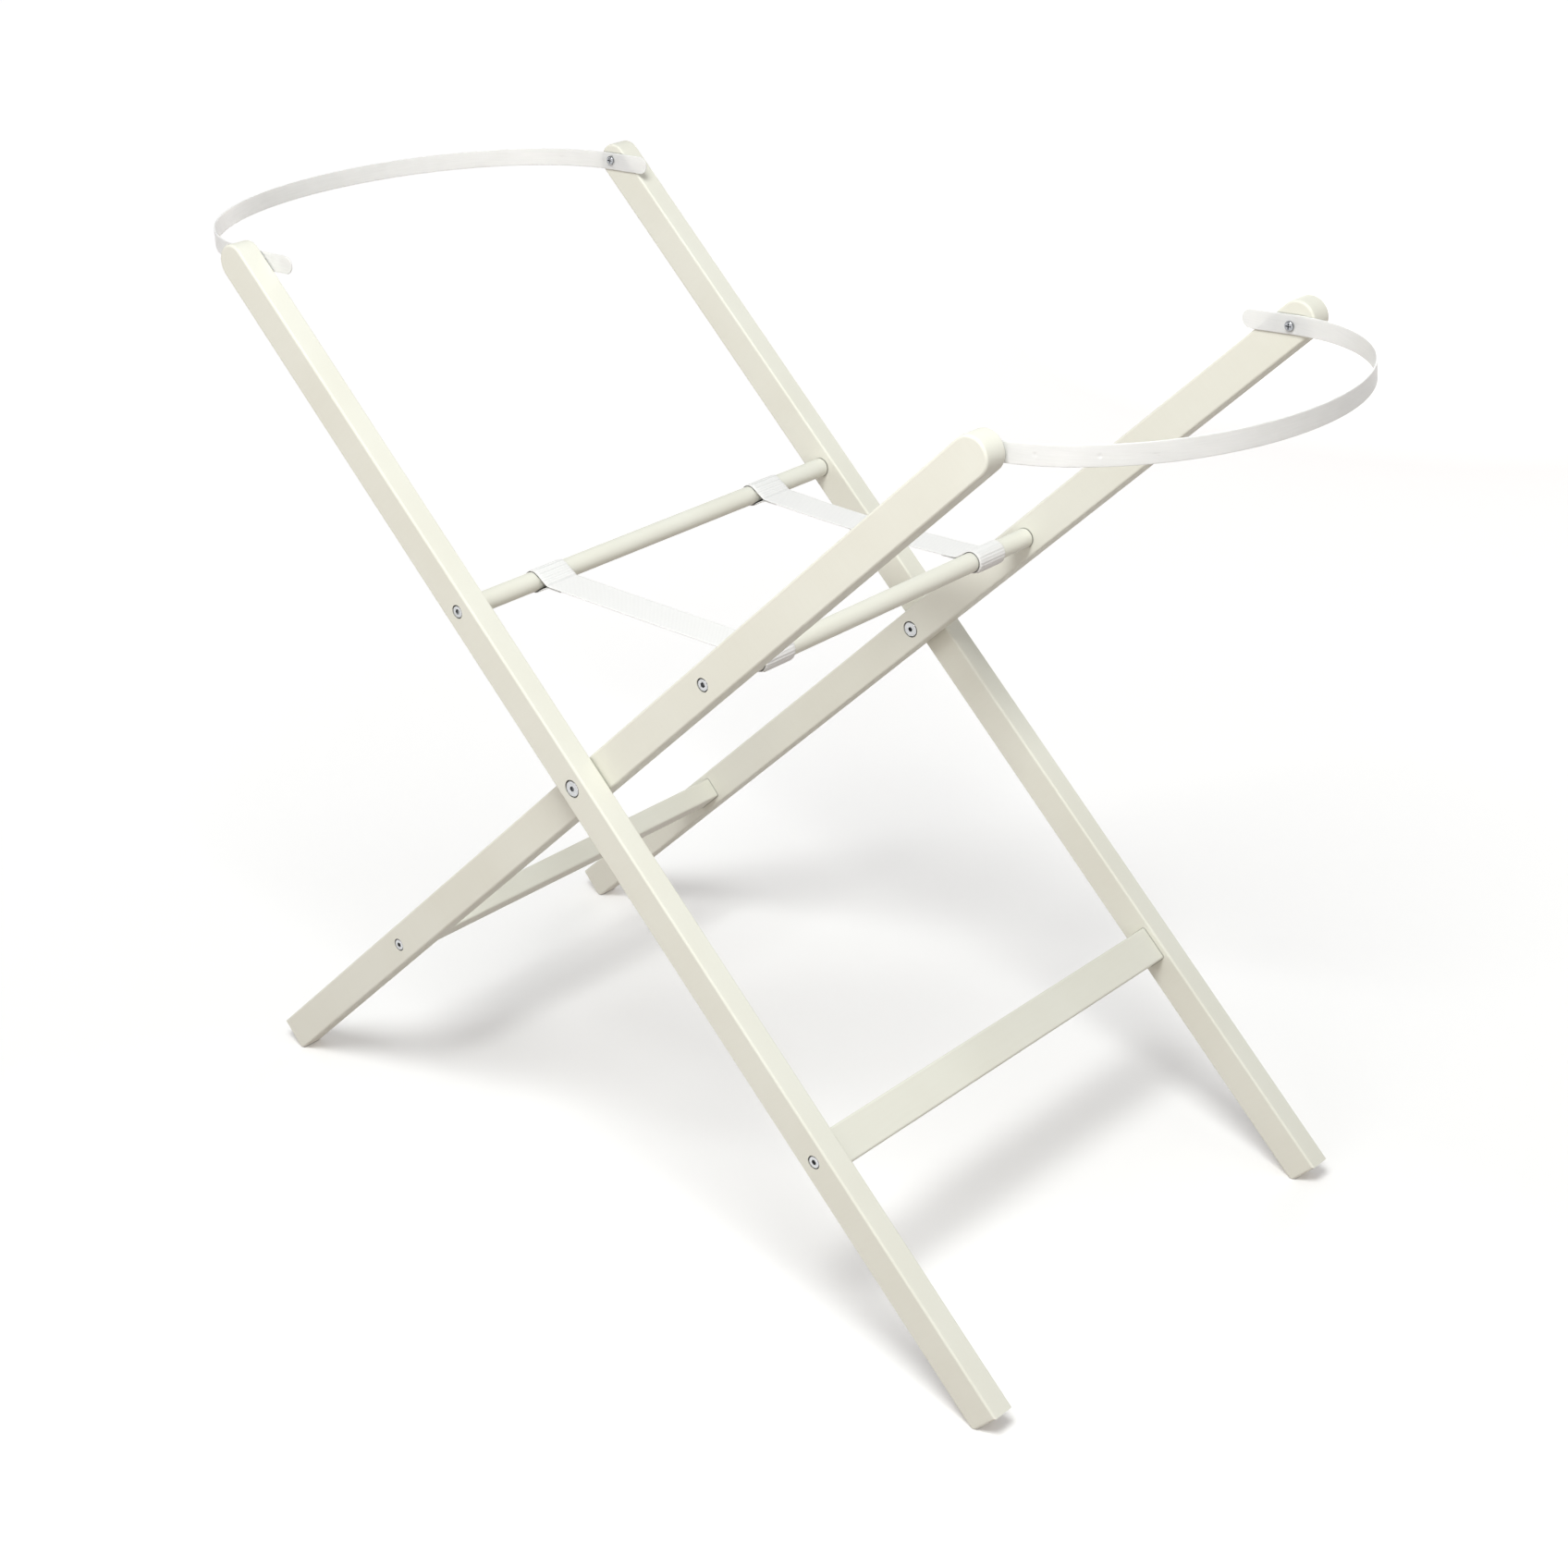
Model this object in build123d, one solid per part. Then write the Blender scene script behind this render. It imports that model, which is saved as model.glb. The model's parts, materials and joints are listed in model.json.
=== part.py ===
"""Folding X-frame baby cradle stand: two crossed wooden frames, two webbing straps, two end bows.

Units are millimetres.  +Z is up and the floor is z = 0.  +X runs along the cradle from the
outer frame's top end towards the inner frame's top end, +Y is its left side.  The origin lies
on the floor in the middle of the whole stand.
"""

import math
import os

from build123d import *

# Legs, rails and dowels
LEG_WIDTH = 30.0
LEG_THICKNESS = 20.0
EDGE_RADIUS = 2.0
RAIL_WIDTH = 30.0
RAIL_THICKNESS = 19.0
RAIL_EDGE_RADIUS = 2.0
DOWEL_RADIUS = 8.0
DOWEL_END_RADIUS = 1.5
BUTT_GAP = 0.05

# How far a cutting shape runs past the face it cuts
OVERCUT = 1.0

# Crossed frames, as seen from the side
PIVOT_HEIGHT = 397.0
OUTER_LEAN_DEG = 44.0
INNER_LEAN_DEG = 43.2
OUTER_TOP_CENTRE = 500.0
INNER_TOP_CENTRE = 497.0
OUTER_DOWEL_ABOVE_PIVOT = 164.5
INNER_DOWEL_ABOVE_PIVOT = 165.5
OUTER_RAIL_BELOW_PIVOT = 334.0
INNER_RAIL_BELOW_PIVOT = 344.0
FOOT_FLAT = 5.0

# Across the stand
OUTER_HALF_WIDTH = 222.0
LEG_GAP = 1.6
OUTER_FACE = OUTER_HALF_WIDTH - LEG_THICKNESS
INNER_HALF_WIDTH = OUTER_FACE - LEG_GAP
INNER_FACE = INNER_HALF_WIDTH - LEG_THICKNESS

# Frame bolts, threaded inserts and locating pins
BOLT_HEAD_RADIUS = 5.0
BOLT_HEAD_HEIGHT = 2.6
BOLT_HEAD_CHAMFER = 0.5
BOLT_RECESS_RADIUS = 5.6
BOLT_RECESS_DEPTH = 2.9
BOLT_RADIUS = 3.0
BOLT_REACH = 13.0
BOLT_CLEARANCE = 0.3
SOCKET_RADIUS = 2.3
SOCKET_DEPTH = 1.8
INSERT_RADIUS = 4.3
INSERT_LENGTH = 13.0
INSERT_SINK = 0.1
INSERT_HOLE_DEPTH = 14.1
THREAD_CLEARANCE = 0.05
PIN_RADIUS = 2.5
PIN_HALF_LENGTH = 10.0
PIN_END_GAP = 0.2
PIN_OFFSET = 9.5

# Fold pivots
PIVOT_HEAD_RADIUS = 6.5
PIVOT_HEAD_HEIGHT = 2.4
PIVOT_HEAD_ROUND = 0.8
PIVOT_RECESS_RADIUS = 7.4
PIVOT_RECESS_DEPTH = 2.6
PIVOT_SOCKET_RADIUS = 2.4
PIVOT_BOLT_TIP_GAP = 2.0
BARREL_RADIUS = 4.5
BARREL_CLEARANCE = 0.05
BARREL_IN_OUTER_LEG = 12.0
BARREL_END_GAP = 0.5
FLANGE_SEAT_GAP = 0.3
SPACER_RADIUS = 11.0
SPACER_THICKNESS = 1.0

# End bows, cut from plastic strip
STRIP_HEIGHT = 15.0
STRIP_THICKNESS = 1.2
STRIP_GAP = 0.3
OUTER_BOW_REACH = 165.0
INNER_BOW_REACH = 144.0
OUTER_BOW_SCREW = 501.5
INNER_BOW_SCREW = 490.5
OUTER_BOW_TILT_DEG = -2.1
INNER_BOW_TILT_DEG = 3.4
# Right side first: how far the strip's middle lies above its screws, and its tails past them
OUTER_BOW_RISES = (-1.0, -1.0)
INNER_BOW_RISES = (4.0, 1.0)
OUTER_BOW_TAILS = (50.0, 43.0)
INNER_BOW_TAILS = (20.0, 41.0)
SCREW_RADIUS = 2.0
SCREW_LENGTH = 15.0
SCREW_HEAD_RADIUS = 3.8
SCREW_HEAD_HEIGHT = 2.0
SCREW_HEAD_ROUND = 1.2
PILOT_HOLE_DEPTH = 14.0
SCREW_RECESS_LENGTH = 4.6
SCREW_RECESS_WIDTH = 0.9
SCREW_RECESS_DEPTH = 1.1

# Webbing straps between the two dowels
STRAP_WIDTH = 32.0
STRAP_THICKNESS = 1.4
STRAP_CENTRE_Y = 126.0
LOOP_GAP = 0.3
LOOP_NECK = 16.0
NECK_RADIUS = 0.1

# The stand's middle along X, measured from the pivot
OUTER_TIP = OUTER_BOW_SCREW * math.cos(math.radians(OUTER_LEAN_DEG)) + OUTER_BOW_REACH
INNER_TIP = INNER_BOW_SCREW * math.cos(math.radians(INNER_LEAN_DEG)) + INNER_BOW_REACH
PIVOT_X = (OUTER_TIP - INNER_TIP) / 2

OUTER = {"side": -1, "lean": OUTER_LEAN_DEG, "half_width": OUTER_HALF_WIDTH}
INNER = {"side": 1, "lean": INNER_LEAN_DEG, "half_width": INNER_HALF_WIDTH}


def leg_plane(frame, y=0.0):
    """Plane on a frame's side: local x runs up the leg, local y to the leg's upper edge."""
    lean = math.radians(frame["lean"])
    along = (frame["side"] * math.cos(lean), 0, math.sin(lean))
    return Plane(origin=(PIVOT_X, y, PIVOT_HEIGHT), x_dir=along, z_dir=(0, -frame["side"], 0))


def leg_point(frame, along, y=0.0):
    """Point on a leg's centreline, counted up from the pivot."""
    return leg_plane(frame, y).from_local_coords(Vector(along, 0, 0))


def rod(centre, radius, y_from, y_to):
    """Round bar along Y through a point of the side view."""
    low = min(y_from, y_to)
    plane = Plane(origin=(centre.X, low, centre.Z), z_dir=(0, 1, 0))
    return extrude(plane * Circle(radius), abs(y_to - y_from))


def hex_rod(frame, along, radius, y_from, y_to):
    """Hexagonal bar along Y, for a hex socket."""
    low = min(y_from, y_to)
    plane = leg_plane(frame, low)
    outline = plane * Pos(along, 0) * RegularPolygon(radius, 6)
    return extrude(outline, abs(y_to - y_from), dir=(0, 1, 0))


def end_rim(head, y_side):
    """Circular rim of a round head that faces out to the given side."""
    rims = head.edges().filter_by(GeomType.CIRCLE).sort_by(Axis.Y)
    return rims[-1] if y_side > 0 else rims[0]


def leg_end(frame):
    """Distance down the leg from the pivot to its square-cut end."""
    lean = math.radians(frame["lean"])
    cut = FOOT_FLAT * math.sin(lean) * math.cos(lean)
    return (PIVOT_HEIGHT + cut - LEG_WIDTH / 2 * math.cos(lean)) / math.sin(lean)


def make_leg(frame, top_centre, y_side):
    """Flat leg with a round top and a square foot whose lowest corner is planed to the floor."""
    half = LEG_WIDTH / 2
    foot = leg_end(frame)
    shaft = Pos((top_centre - foot) / 2, 0) * Rectangle(top_centre + foot, LEG_WIDTH)
    outline = shaft + Pos(top_centre, 0) * Circle(half)
    y_middle = y_side * (frame["half_width"] - LEG_THICKNESS / 2)
    body = extrude(leg_plane(frame, y_middle) * outline, LEG_THICKNESS / 2, both=True)
    faces = body.faces().sort_by(Axis.Y)
    body = fillet(faces[0].edges() + faces[-1].edges(), EDGE_RADIUS)
    below_floor = Box(3 * foot, 3 * OUTER_HALF_WIDTH, LEG_WIDTH)
    return body - Pos(PIVOT_X, 0, -LEG_WIDTH / 2) * below_floor


def bolt_hole(frame, along, y_side):
    """Head recess and clearance hole that a frame bolt needs through a leg."""
    outside = y_side * (frame["half_width"] + OVERCUT)
    floor = y_side * (frame["half_width"] - BOLT_RECESS_DEPTH)
    inside = y_side * (frame["half_width"] - LEG_THICKNESS - OVERCUT)
    centre = leg_point(frame, along)
    recess = rod(centre, BOLT_RECESS_RADIUS, outside, floor)
    return recess + rod(centre, BOLT_RADIUS + BOLT_CLEARANCE, outside, inside)


def frame_bolt(frame, along, y_side):
    """Flat-headed socket bolt, its head seated in the recess and its tip in an insert."""
    outside = y_side * frame["half_width"]
    seat = outside - y_side * BOLT_RECESS_DEPTH
    head_top = seat + y_side * BOLT_HEAD_HEIGHT
    tip = outside - y_side * (LEG_THICKNESS + BOLT_REACH)
    centre = leg_point(frame, along)
    head = rod(centre, BOLT_HEAD_RADIUS, seat, head_top)
    head = chamfer(end_rim(head, y_side), BOLT_HEAD_CHAMFER)
    shank = rod(centre, BOLT_RADIUS, seat, tip)
    socket_top = head_top + y_side * OVERCUT
    socket = hex_rod(frame, along, SOCKET_RADIUS, socket_top, head_top - y_side * SOCKET_DEPTH)
    return head + shank - socket


def insert_hole(frame, along, y_side):
    """Blind hole in the end of a dowel or rail for its threaded insert."""
    face = frame["half_width"] - LEG_THICKNESS
    start = y_side * (face + OVERCUT)
    end = y_side * (face - INSERT_HOLE_DEPTH)
    return rod(leg_point(frame, along), INSERT_RADIUS + BUTT_GAP, start, end)


def thread_insert(frame, along, y_side):
    """Flush threaded insert with a clear bore for the bolt."""
    start = frame["half_width"] - LEG_THICKNESS - INSERT_SINK
    end = start - INSERT_LENGTH
    centre = leg_point(frame, along)
    body = rod(centre, INSERT_RADIUS, y_side * start, y_side * end)
    bore_radius = BOLT_RADIUS + THREAD_CLEARANCE
    return body - rod(centre, bore_radius, y_side * (start + OVERCUT), y_side * (end - OVERCUT))


def locating_pin(frame, along, y_side):
    """Short wooden pin across a rail joint, beside the bolt, that stops the rail turning."""
    face = y_side * (frame["half_width"] - LEG_THICKNESS)
    centre = leg_point(frame, along - PIN_OFFSET)
    return rod(centre, PIN_RADIUS, face - PIN_HALF_LENGTH, face + PIN_HALF_LENGTH)


def pin_hole(frame, along, y_side):
    """Hole for a locating pin, half in the leg and half in the rail."""
    face = y_side * (frame["half_width"] - LEG_THICKNESS)
    centre = leg_point(frame, along - PIN_OFFSET)
    half = PIN_HALF_LENGTH + PIN_END_GAP
    return rod(centre, PIN_RADIUS + BUTT_GAP, face - half, face + half)


def make_dowel(frame, along):
    """Round cross-bar butted between the legs, its rims eased."""
    face = frame["half_width"] - LEG_THICKNESS - BUTT_GAP
    bar = rod(leg_point(frame, along), DOWEL_RADIUS, -face, face)
    bar = fillet(bar.edges().filter_by(GeomType.CIRCLE), DOWEL_END_RADIUS)
    return bar - [insert_hole(frame, along, side) for side in (-1, 1)]


def make_rail(frame, along):
    """Flat lower rail, its broad side lying along the leg."""
    face = frame["half_width"] - LEG_THICKNESS - BUTT_GAP
    outline = Pos(along, 0) * RectangleRounded(RAIL_WIDTH, RAIL_THICKNESS, RAIL_EDGE_RADIUS)
    bar = extrude(leg_plane(frame) * outline, face, both=True)
    bar -= [insert_hole(frame, along, side) for side in (-1, 1)]
    return bar - [pin_hole(frame, along, side) for side in (-1, 1)]


def pivot_recess(frame, y_face, inward):
    """Round recess in a leg's face that hides one end of the pivot."""
    start = y_face - inward * OVERCUT
    return rod(leg_point(frame, 0), PIVOT_RECESS_RADIUS, start, y_face + inward * PIVOT_RECESS_DEPTH)


def pivot_hole(y_side):
    """Hole for the sleeve nut's barrel through both legs of one side."""
    centre = leg_point(OUTER, 0)
    inside = y_side * (INNER_FACE - OVERCUT)
    step = y_side * (OUTER_FACE + BARREL_IN_OUTER_LEG + BARREL_END_GAP)
    outside = y_side * (OUTER_HALF_WIDTH + OVERCUT)
    barrel = rod(centre, BARREL_RADIUS + BARREL_CLEARANCE, inside, step)
    return barrel + rod(centre, BOLT_RADIUS + BOLT_CLEARANCE, inside, outside)


def pivot_bolt(y_side):
    """Socket bolt entering from outside and screwed into the sleeve nut."""
    centre = leg_point(OUTER, 0)
    seat = y_side * (OUTER_HALF_WIDTH - PIVOT_RECESS_DEPTH)
    head_top = seat + y_side * PIVOT_HEAD_HEIGHT
    head = rod(centre, PIVOT_HEAD_RADIUS, seat, head_top)
    head = fillet(end_rim(head, y_side), PIVOT_HEAD_ROUND)
    tip = y_side * (INNER_FACE + PIVOT_RECESS_DEPTH + PIVOT_BOLT_TIP_GAP)
    shank = rod(centre, BOLT_RADIUS, seat, tip)
    socket_top = head_top + y_side * OVERCUT
    socket = hex_rod(OUTER, 0, PIVOT_SOCKET_RADIUS, socket_top, head_top - y_side * SOCKET_DEPTH)
    return head + shank - socket


def sleeve_nut(y_side):
    """Sleeve nut whose barrel is the shaft that the inner leg turns on."""
    centre = leg_point(OUTER, 0)
    seat = y_side * (INNER_FACE + PIVOT_RECESS_DEPTH - FLANGE_SEAT_GAP)
    top = seat - y_side * PIVOT_HEAD_HEIGHT
    head = rod(centre, PIVOT_HEAD_RADIUS, top, seat)
    head = fillet(end_rim(head, -y_side), PIVOT_HEAD_ROUND)
    end = y_side * (OUTER_FACE + BARREL_IN_OUTER_LEG)
    barrel = rod(centre, BARREL_RADIUS, top, end)
    socket_floor = top + y_side * SOCKET_DEPTH
    bore = rod(centre, BOLT_RADIUS + THREAD_CLEARANCE, socket_floor, end + y_side * OVERCUT)
    socket = hex_rod(OUTER, 0, SOCKET_RADIUS, top - y_side * OVERCUT, socket_floor)
    return head + barrel - bore - socket


def pivot_spacer(y_side):
    """Nylon washer lying against the outer leg, between it and the inner leg."""
    centre = leg_point(OUTER, 0)
    start = y_side * (OUTER_FACE - BUTT_GAP)
    ring = rod(centre, SPACER_RADIUS, start, start - y_side * SPACER_THICKNESS)
    return ring - rod(centre, BARREL_RADIUS + BARREL_CLEARANCE, -OUTER_FACE, OUTER_FACE)


def bow_tail(length, half, y_side):
    """Straight tail of a bow's strip on one side, seen from above."""
    return Pos(-length / 2, y_side * (half - STRIP_THICKNESS / 2)) * Rectangle(length, STRIP_THICKNESS)


def tail_trim(length, y_side, y_far):
    """Block that leaves a round end on the tail of one side when cut from the strip."""
    radius = STRIP_HEIGHT / 2
    beyond = Pos(-length, 0) * Rectangle(2 * radius, 2 * STRIP_HEIGHT)
    beyond -= Pos(radius - length, 0) * Circle(radius)
    return extrude(Plane.XZ * beyond, -y_side * y_far)


def make_bow(frame, along, reach, tilt_deg, rises, tails):
    """Plastic strip bent to a half ellipse, with two straight tails past the screws."""
    half = frame["half_width"] - LEG_THICKNESS - STRIP_GAP
    outline = Ellipse(reach, half) - Ellipse(reach - STRIP_THICKNESS, half - STRIP_THICKNESS)
    outline -= Pos(-reach, 0) * Rectangle(2 * reach, 3 * half)
    outline += [bow_tail(length, half, side) for side, length in zip((-1, 1), tails)]
    strip = extrude(outline, STRIP_HEIGHT / 2, both=True)
    strip -= [tail_trim(length, side, 2 * half) for side, length in zip((-1, 1), tails)]
    roll_deg = math.degrees(math.atan2(rises[1] - rises[0], 2 * half))
    strip = Pos(0, 0, (rises[0] + rises[1]) / 2) * Rot(roll_deg, 0, 0) * strip
    strip -= extrude(Plane.XZ * Circle(SCREW_RADIUS + THREAD_CLEARANCE), 2 * half, both=True)
    if frame["side"] < 0:
        strip = strip.mirror(Plane.YZ)
    screw = leg_point(frame, along)
    return Pos(screw.X, 0, screw.Z) * Rot(0, -frame["side"] * tilt_deg, 0) * strip


def bow_screw(frame, along, y_side):
    """Pan-head screw through the bow into the inside of a leg."""
    face = y_side * (frame["half_width"] - LEG_THICKNESS)
    seat = face - y_side * (2 * STRIP_GAP + STRIP_THICKNESS)
    top = seat - y_side * SCREW_HEAD_HEIGHT
    centre = leg_point(frame, along)
    head = rod(centre, SCREW_HEAD_RADIUS, seat, top)
    head = fillet(end_rim(head, -y_side), SCREW_HEAD_ROUND)
    shank = rod(centre, SCREW_RADIUS, seat, seat + y_side * SCREW_LENGTH)
    middle = Pos(centre.X, top, centre.Z)
    bar = Box(SCREW_RECESS_LENGTH, 2 * SCREW_RECESS_DEPTH, SCREW_RECESS_WIDTH)
    upright = Box(SCREW_RECESS_WIDTH, 2 * SCREW_RECESS_DEPTH, SCREW_RECESS_LENGTH)
    return head + shank - middle * bar - middle * upright


def bow_screw_hole(frame, along, y_side):
    """Blind pilot hole for a bow screw in the inside of a leg."""
    face = frame["half_width"] - LEG_THICKNESS
    start = y_side * (face - OVERCUT)
    end = y_side * (face + PILOT_HOLE_DEPTH)
    return rod(leg_point(frame, along), SCREW_RADIUS + BUTT_GAP, start, end)


def loop_outline(dowel_x, neck_x, thickness):
    """Teardrop drawn round a dowel and drawn in to the neck where the loop closes."""
    round_edge = (Pos(dowel_x, 0) * Circle(DOWEL_RADIUS + LOOP_GAP + thickness)).edges()
    neck_edge = (Pos(neck_x, 0) * Circle(NECK_RADIUS + thickness)).edges()
    return make_hull(round_edge + neck_edge)


def make_strap(y_centre):
    """Webbing strap looped round both dowels, with one flat run between the loops."""
    near = leg_point(OUTER, OUTER_DOWEL_ABOVE_PIVOT)
    far = leg_point(INNER, INNER_DOWEL_ABOVE_PIVOT)
    run = math.hypot(far.X - near.X, far.Z - near.Z)
    direction = (far.X - near.X, 0, far.Z - near.Z)
    plane = Plane(origin=(near.X, y_centre, near.Z), x_dir=direction, z_dir=(0, -1, 0))
    loops = ((0, LOOP_NECK), (run, run - LOOP_NECK))
    outline = Pos(run / 2, 0) * Rectangle(run - 2 * LOOP_NECK, STRAP_THICKNESS)
    outline += [loop_outline(dowel, neck, STRAP_THICKNESS) for dowel, neck in loops]
    outline -= [loop_outline(dowel, neck, 0) for dowel, neck in loops]
    return extrude(plane * outline, STRAP_WIDTH / 2, both=True)


def both_sides(maker, *details):
    """The same small part on the right and on the left, kept as two solids of one node."""
    return Compound(children=[maker(*details, side) for side in (-1, 1)])


def drilled_leg(frame, top_centre, dowel, rail, screw, y_side):
    """A leg with every hole it needs."""
    leg = make_leg(frame, top_centre, y_side)
    leg -= bolt_hole(frame, dowel, y_side)
    leg -= bolt_hole(frame, rail, y_side)
    leg -= pin_hole(frame, rail, y_side)
    leg -= bow_screw_hole(frame, screw, y_side)
    leg -= pivot_hole(y_side)
    if frame is OUTER:
        return leg - pivot_recess(frame, y_side * OUTER_HALF_WIDTH, -y_side)
    return leg - pivot_recess(frame, y_side * INNER_FACE, y_side)


def frame_nodes(name, frame, top_centre, dowel, rail, screw):
    """All the nodes of one crossed frame."""
    return {
        f"{name}_leg_left": drilled_leg(frame, top_centre, dowel, rail, screw, 1),
        f"{name}_leg_right": drilled_leg(frame, top_centre, dowel, rail, screw, -1),
        f"{name}_dowel": make_dowel(frame, dowel),
        f"{name}_rail": make_rail(frame, rail),
        f"{name}_dowel_bolts": both_sides(frame_bolt, frame, dowel),
        f"{name}_rail_bolts": both_sides(frame_bolt, frame, rail),
        f"{name}_dowel_inserts": both_sides(thread_insert, frame, dowel),
        f"{name}_rail_inserts": both_sides(thread_insert, frame, rail),
        f"{name}_rail_pins": both_sides(locating_pin, frame, rail),
        f"{name}_bow_screws": both_sides(bow_screw, frame, screw),
    }


nodes = {}
nodes.update(
    frame_nodes(
        "outer",
        OUTER,
        OUTER_TOP_CENTRE,
        OUTER_DOWEL_ABOVE_PIVOT,
        -OUTER_RAIL_BELOW_PIVOT,
        OUTER_BOW_SCREW,
    )
)
nodes.update(
    frame_nodes(
        "inner",
        INNER,
        INNER_TOP_CENTRE,
        INNER_DOWEL_ABOVE_PIVOT,
        -INNER_RAIL_BELOW_PIVOT,
        INNER_BOW_SCREW,
    )
)
nodes["pivot_bolts"] = both_sides(pivot_bolt)
nodes["pivot_sleeve_nuts"] = both_sides(sleeve_nut)
nodes["pivot_spacers"] = both_sides(pivot_spacer)
nodes["outer_bow"] = make_bow(
    OUTER, OUTER_BOW_SCREW, OUTER_BOW_REACH, OUTER_BOW_TILT_DEG, OUTER_BOW_RISES, OUTER_BOW_TAILS
)
nodes["inner_bow"] = make_bow(
    INNER, INNER_BOW_SCREW, INNER_BOW_REACH, INNER_BOW_TILT_DEG, INNER_BOW_RISES, INNER_BOW_TAILS
)
nodes["strap_right"] = make_strap(-STRAP_CENTRE_Y)
nodes["strap_left"] = make_strap(STRAP_CENTRE_Y)

os.makedirs("parts", exist_ok=True)
for node_name, shape in nodes.items():
    export_step(shape, f"parts/{node_name}.step")
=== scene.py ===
import json
import math

import bmesh
import bpy
import numpy as np
from mathutils import Matrix, Vector


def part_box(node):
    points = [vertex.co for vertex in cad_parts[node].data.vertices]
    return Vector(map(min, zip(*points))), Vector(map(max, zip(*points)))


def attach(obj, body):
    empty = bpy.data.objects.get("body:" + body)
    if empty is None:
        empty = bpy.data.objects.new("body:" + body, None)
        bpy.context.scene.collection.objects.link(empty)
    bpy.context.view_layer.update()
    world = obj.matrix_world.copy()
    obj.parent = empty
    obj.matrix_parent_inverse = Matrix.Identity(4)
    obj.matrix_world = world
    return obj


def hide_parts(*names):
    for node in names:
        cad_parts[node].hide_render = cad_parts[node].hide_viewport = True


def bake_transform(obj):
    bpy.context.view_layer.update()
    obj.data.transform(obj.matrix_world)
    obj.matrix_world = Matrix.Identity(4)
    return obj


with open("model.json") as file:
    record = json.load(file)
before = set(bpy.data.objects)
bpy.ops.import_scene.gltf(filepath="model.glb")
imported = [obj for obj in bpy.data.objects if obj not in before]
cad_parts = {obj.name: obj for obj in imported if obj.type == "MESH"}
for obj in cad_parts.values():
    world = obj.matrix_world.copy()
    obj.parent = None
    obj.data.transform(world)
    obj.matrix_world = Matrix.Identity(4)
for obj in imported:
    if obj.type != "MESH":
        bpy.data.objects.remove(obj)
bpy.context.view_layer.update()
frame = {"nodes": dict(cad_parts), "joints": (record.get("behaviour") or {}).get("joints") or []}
nodes = frame["nodes"]
joints = {joint["name"]: joint for joint in frame["joints"]}
pivot = Vector(joints["fold"]["pos_m"])

MM = 0.001
OUTER_LEAN = math.radians(44.0)
INNER_LEAN = math.radians(43.2)


# ---------------------------------------------------------------- node helpers

OCCLUSION_SAMPLES = 8


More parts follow.
